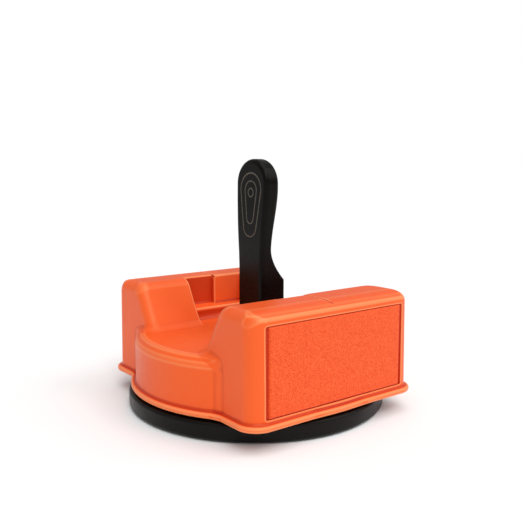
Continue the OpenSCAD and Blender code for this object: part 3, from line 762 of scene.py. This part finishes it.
def screws(name, places, head_z, head_r, head_t, shank_r, length, up):
    """Cross-recessed screws with threaded shanks; up is 1 where the heads face up and -1 where down."""
    def one(x, y, z):
        r = np.hypot(x, y)
        head = round_max(r - head_r, np.abs(z - head_t / 2) - head_t / 2, 0.35)
        cross = np.minimum(np.maximum(np.abs(x) - 0.32, np.abs(y) - head_r * 0.55),
                           np.maximum(np.abs(y) - 0.32, np.abs(x) - head_r * 0.55))
        head = np.maximum(head, -np.maximum(cross, head_t * 0.45 - z))
        turn = z / 0.9 - np.arctan2(y, x) / (2 * math.pi)
        thread = 0.16 * np.abs(2 * (turn - np.floor(turn)) - 1)
        shank = np.maximum(r - shank_r + thread, np.abs(z + length / 2) - length / 2 - 0.1)
        return np.minimum(head, shank)

    grid_r = planes([(-head_r - 0.4, 0.19), (head_r + 0.4, 0.2)])
    points, quads = surface_net(one, (grid_r, grid_r, planes([(-length - 0.4, 0.22), (head_t + 0.4, 0.2)])))
    copies, faces = [], []
    for cx, cy in places:
        faces += [tuple(q + len(copies) * len(points)) for q in quads]
        copies.append(points * (1, up, up) + (cx, cy, head_z))
    return shade(mesh_object(name, [tuple(p) for c in copies for p in c], faces), 40)


SCREWS = (
    ("chassis_screws", "housing", [(59, 44), (59, -44), (-59, 44), (-59, -44), (0, 58), (0, -58)],
     13.7, 2.6, 1.8, 1.4, 10.2, -1),
    ("ballast_screws", "base", [(35 * math.cos(a), 35 * math.sin(a)) for a in
                                (math.radians(90 + 120 * k) for k in range(3))],
     2.4, 2.6, 1.2, 1.4, 5.4, -1),
    ("spindle_screw", "base", [(0, 0)], 14.2, 2.6, 0.9, 1.4, 9, 1),
    ("pusher_screws", "shuttle", [(17, 0), (-17, 0)], 43.35, 1.7, 0.6, 0.8, 4, 1),
)
for node, group, places, head_z, head_r, head_t, shank_r, length, up in SCREWS:
    dress(screws(node + "_cut", places, head_z, head_r, head_t, shank_r, length, up),
          SCREW_STEEL, group, "screw_steel", node)


# Guide rods: distance from the centre, and height
ROD_X = 24
ROD_Z = 36
# Coils: radius, distance of the near end from the centre, length, and radius of the wire
COIL_R = 2.5
COIL_START = 7
COIL_LENGTH = 19
WIRE_R = 0.3


def spring(name, x, y, way, length, turns, wire):
    """A coil spring on a guide rod, wound closer at both ends, drawn out from y by length."""
    steps = turns * 28
    points, faces = [], []
    for k in range(steps + 1):
        t = k / steps
        a = 2 * math.pi * turns * t
        run = wire + (length - 2 * wire) * smooth_step(t) * 0.5 + (length - 2 * wire) * t * 0.5
        for j in range(8):
            b = 2 * math.pi * j / 8
            r = COIL_R + wire * math.cos(b)
            points.append((x + r * math.cos(a), y + way * (run + wire * math.sin(b)), ROD_Z + r * math.sin(a)))
    for k in range(steps):
        faces += [(8 * k + j, 8 * k + (j + 1) % 8, 8 * k + 8 + (j + 1) % 8, 8 * k + 8 + j) for j in range(8)]
    faces += [tuple(range(8)), tuple(8 * steps + j for j in range(8))]
    obj = mesh_object(name, points, faces)
    return shade(face_outward(obj), 60)


for side_x, side in ((ROD_X, "right"), (-ROD_X, "left")):
    for way, end in ((-1, "front"), (1, "rear")):
        node = "return_spring_%s_%s" % (end, side)
        coil = spring(node + "_coil", side_x, COIL_START * way, way, COIL_LENGTH, 9, WIRE_R)
        dress(coil, SPRING_STEEL, "housing", "spring_steel", node)
        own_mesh(coil)

# ------------------------------------------------------------------ camera, light and floor

ROOM_LIGHT = 0.42
CAMERA_AT = (320.8, -243.19, 136.17)
CAMERA_TILT = 7.66
CAMERA_AZIMUTH = 52.42
camera = link(bpy.data.objects.new("camera", bpy.data.cameras.new("camera")))
camera.data.lens = 47.738
camera.data.sensor_width = 36
camera.location = Vector(CAMERA_AT) * MM
camera.rotation_euler = (math.radians(90 - CAMERA_TILT), 0, math.radians(CAMERA_AZIMUTH))
bpy.context.scene.camera = camera

world = bpy.data.worlds.new("studio")
world.use_nodes = True
room = world.node_tree
backdrop = room.nodes["Background"]
backdrop.inputs["Color"].default_value = (1, 1, 1, 1)
seen = add_node(room, "ShaderNodeLightPath").outputs["Is Camera Ray"]
room.links.new(spread(room, seen, ROOM_LIGHT, 1.0, 0, 1), backdrop.inputs["Strength"])
bpy.context.scene.world = world
bpy.context.scene.view_settings.view_transform = "Standard"


def soft_light(name, azimuth, elevation, strength, spread_deg):
    """A broad even light from one direction, with no fall-off."""
    light = bpy.data.lights.new(name, "SUN")
    light.energy = strength
    light.angle = math.radians(spread_deg)
    obj = link(bpy.data.objects.new(name, light))
    a, e = math.radians(azimuth), math.radians(elevation)
    away = Vector((math.sin(a) * math.cos(e), -math.cos(a) * math.cos(e), math.sin(e)))
    obj.location = away * 0.8
    obj.rotation_euler = away.to_track_quat("Z", "Y").to_euler()
    return obj


soft_light("key", 64, 42, 1.0, 30)
soft_light("overhead", 100, 75, 1.25, 60)
soft_light("rear", 140, 38, 0.55, 40)

bpy.ops.mesh.primitive_grid_add(x_subdivisions=2, y_subdivisions=2, size=40)
floor = bpy.context.object
floor.name = "floor"
floor_material, _, floor_shader = new_material("floor")
floor_shader.inputs["Base Color"].default_value = (0.95, 0.95, 0.95, 1)
floor_shader.inputs["Roughness"].default_value = 0.9
floor.data.materials.append(floor_material)
